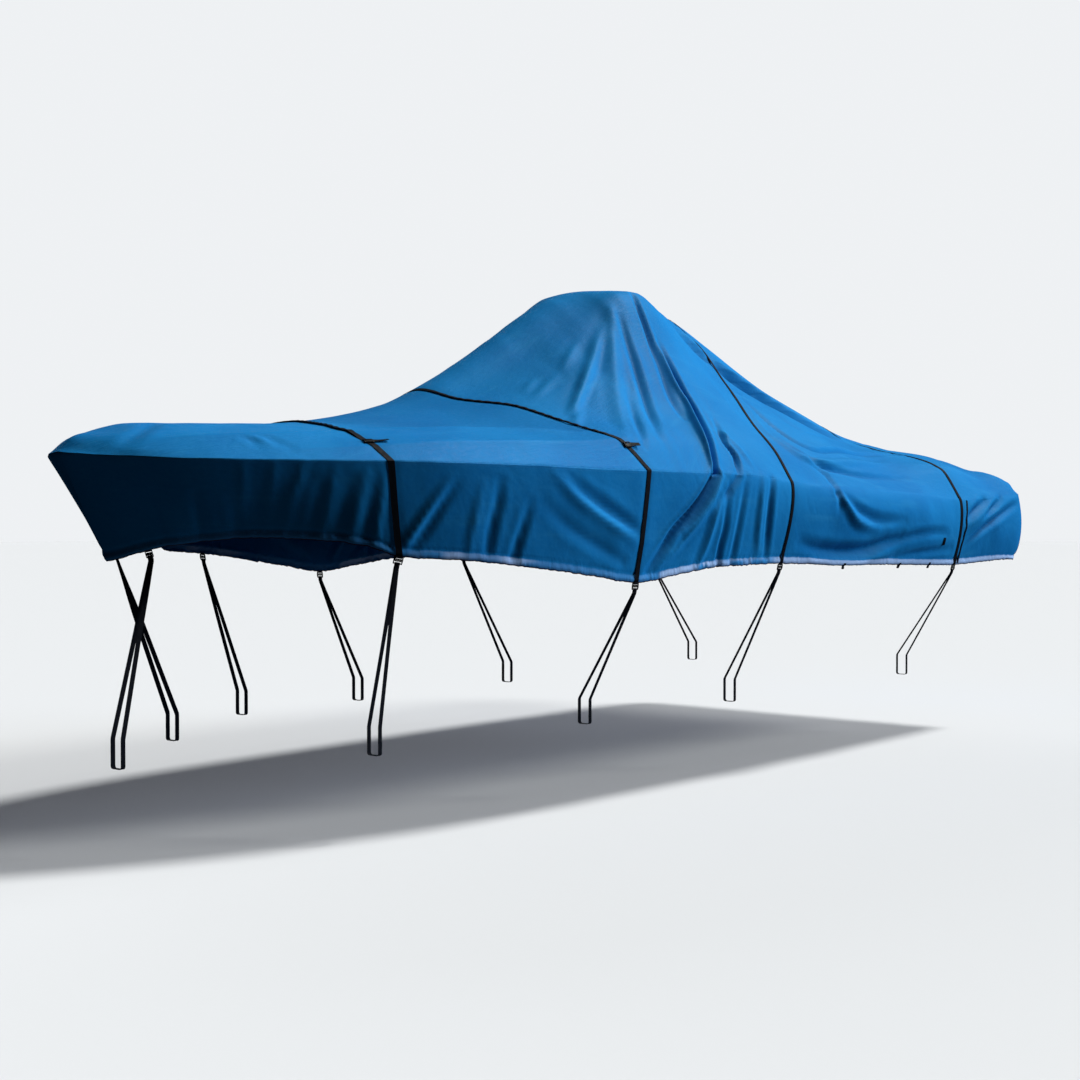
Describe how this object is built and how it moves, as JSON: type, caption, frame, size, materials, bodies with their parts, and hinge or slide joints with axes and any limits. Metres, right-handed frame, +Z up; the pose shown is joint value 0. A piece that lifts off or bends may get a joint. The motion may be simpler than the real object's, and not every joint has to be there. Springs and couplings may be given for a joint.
{
  "type": "fitted boat cover",
  "caption": "Blue fitted cloth cover for a centre-console boat, peaked over the console, with black over-straps and tie-down loops below the hem.",
  "frame": {"origin": "underside of the top sheet at the cover's peak, on the centre line, where the thing left out under it holds the cover up", "axes": "+X towards the stern along the boat's length, +Y to starboard, +Z up; the ground is 2.785 m below the origin"},
  "size_m": [7.1184, 2.6094, 2.4122],
  "materials": {
    "cover_cloth": "woven coated polyester, royal blue, slight sheen",
    "strap_webbing": "flat woven polyester webbing, black, 38 mm",
    "tie_webbing": "flat woven polyester webbing, black, 22 to 25 mm",
    "buckle": "moulded black plastic"
  },
  "bodies": {
    "root": {"top_sheet": "cover_cloth", "side_skirt_port": "cover_cloth", "side_skirt_starboard": "cover_cloth", "stern_skirt": "cover_cloth", "over_strap_1": "strap_webbing", "over_strap_2": "strap_webbing", "over_strap_3": "strap_webbing", "over_strap_4": "strap_webbing", "strap_end_1": "strap_webbing", "strap_end_2": "strap_webbing", "tie_down_port_1": "tie_webbing", "tie_down_port_2": "tie_webbing", "tie_down_port_3": "tie_webbing", "tie_down_port_4": "tie_webbing", "tie_down_starboard_1": "tie_webbing", "tie_down_starboard_2": "tie_webbing", "tie_down_starboard_3": "tie_webbing", "tie_down_starboard_4": "tie_webbing", "tie_down_bow_port": "tie_webbing", "tie_down_bow_starboard": "tie_webbing", "hem_tab_port_1": "tie_webbing", "hem_tab_port_2": "tie_webbing", "hem_tab_port_3": "tie_webbing", "hem_tab_starboard_1": "tie_webbing", "hem_tab_starboard_2": "tie_webbing", "hem_tab_starboard_3": "tie_webbing", "skirt_keeper": "tie_webbing", "hem_buckle_port_1": "buckle", "hem_buckle_port_2": "buckle", "hem_buckle_port_3": "buckle", "hem_buckle_port_4": "buckle", "hem_buckle_starboard_1": "buckle", "hem_buckle_starboard_2": "buckle", "hem_buckle_starboard_3": "buckle", "hem_buckle_starboard_4": "buckle", "hem_buckle_bow_port": "buckle", "hem_buckle_bow_starboard": "buckle", "shoulder_buckle_1": "buckle", "shoulder_buckle_2": "buckle"}
  },
  "joints": []
}
